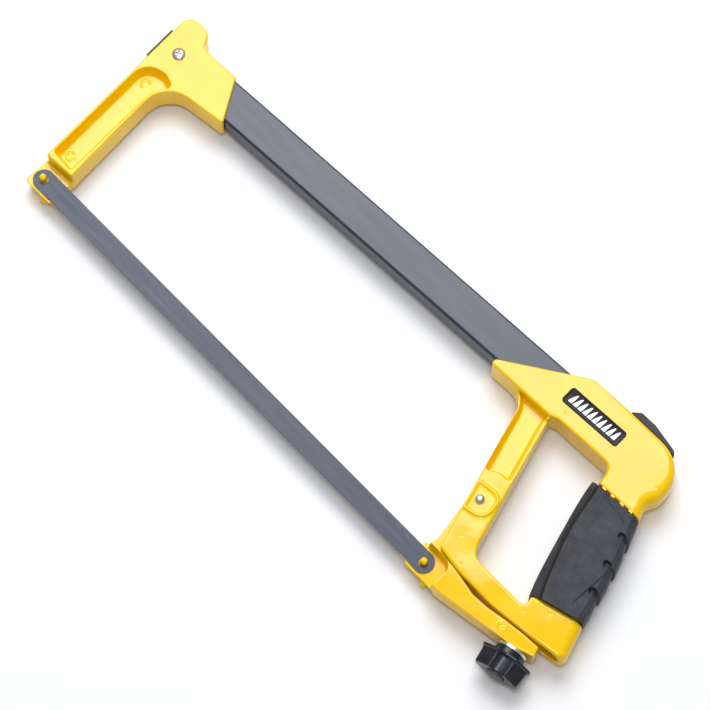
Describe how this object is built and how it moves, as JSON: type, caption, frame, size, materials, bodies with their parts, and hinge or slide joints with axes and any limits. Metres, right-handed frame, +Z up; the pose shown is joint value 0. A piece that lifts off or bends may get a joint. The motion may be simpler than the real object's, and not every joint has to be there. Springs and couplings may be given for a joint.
{
  "type": "hacksaw",
  "caption": "High-tension hacksaw: rectangular-tube backbone, cast front arm and D-handle, and a blade on pins tensioned by a lever and a knob screw.",
  "frame": {"origin": "bottom centre of the box round the saw as it lies on its side", "axes": "+X along the blade from the front arm to the handle, +Y from the blade towards the backbone tube, +Z up, square to the frame's plane"},
  "size_m": [0.406, 0.1568, 0.023],
  "materials": {
    "yellow_paint": "glossy yellow enamel on cast aluminium",
    "black_plastic": "satin black plastic",
    "black_rubber": "matt soft grip rubber",
    "grey_plastic": "pale grey plastic",
    "tube_paint": "satin dark grey enamel on steel tube",
    "blade_steel": "blue-grey coated blade steel",
    "bright_steel": "zinc-plated steel",
    "brass": "turned brass"
  },
  "bodies": {
    "frame": {"front_casting": "yellow_paint", "front_blade_pin": "yellow_paint", "front_angled_pin": "yellow_paint", "frame_tube": "tube_paint", "tube_end_plug": "black_plastic", "front_screw": "bright_steel", "front_screw_nut": "bright_steel", "rear_handle": "yellow_paint", "rear_screw": "bright_steel", "name_plate": "black_plastic", "plate_emblem": "bright_steel", "grip_sleeve": "black_rubber", "heel_pad": "black_rubber", "pivot_rivet": "bright_steel", "pivot_bush": "brass", "barrel_nut": "brass"},
    "lever": {"tension_lever": "yellow_paint", "rear_blade_pin": "yellow_paint", "rear_angled_pin": "yellow_paint"},
    "screw_carrier": {"thrust_washer": "bright_steel"},
    "knob_screw": {"knob": "black_plastic", "knob_cap": "grey_plastic", "tension_screw": "bright_steel"},
    "blade": {"saw_blade": "blade_steel"}
  },
  "joints": [
    {"name": "screw_travel", "type": "slide", "parent": "frame", "child": "screw_carrier", "axis": [0.1994, -0.9799, 0], "range_m": [0, 0.005]},
    {"name": "knob_turn", "type": "hinge", "parent": "screw_carrier", "child": "knob_screw", "pos_m": [0.18063, -0.06543, 0.0115], "axis": [0.1994, -0.9799, 0], "range_deg": [0, 1801]},
    {"name": "lever_swing", "type": "hinge", "parent": "frame", "child": "lever", "pos_m": [0.11153, -0.01803, 0.0115], "axis": [0, 0, -1], "range_deg": [0, 4.99]},
    {"name": "blade_release", "type": "hinge", "parent": "frame", "child": "blade", "pos_m": [-0.19127, -0.06093, 0.01085], "axis": [0, -1, 0], "range_deg": [0, 3.01]}
  ],
  "couplings": [
    {"joint": "knob_turn", "follows": "screw_travel", "rad_per_m": 6283.2},
    {"joint": "lever_swing", "follows": "screw_travel", "rad_per_m": 17.391},
    {"joint": "blade_release", "follows": "screw_travel", "rad_per_m": 10.472}
  ]
}
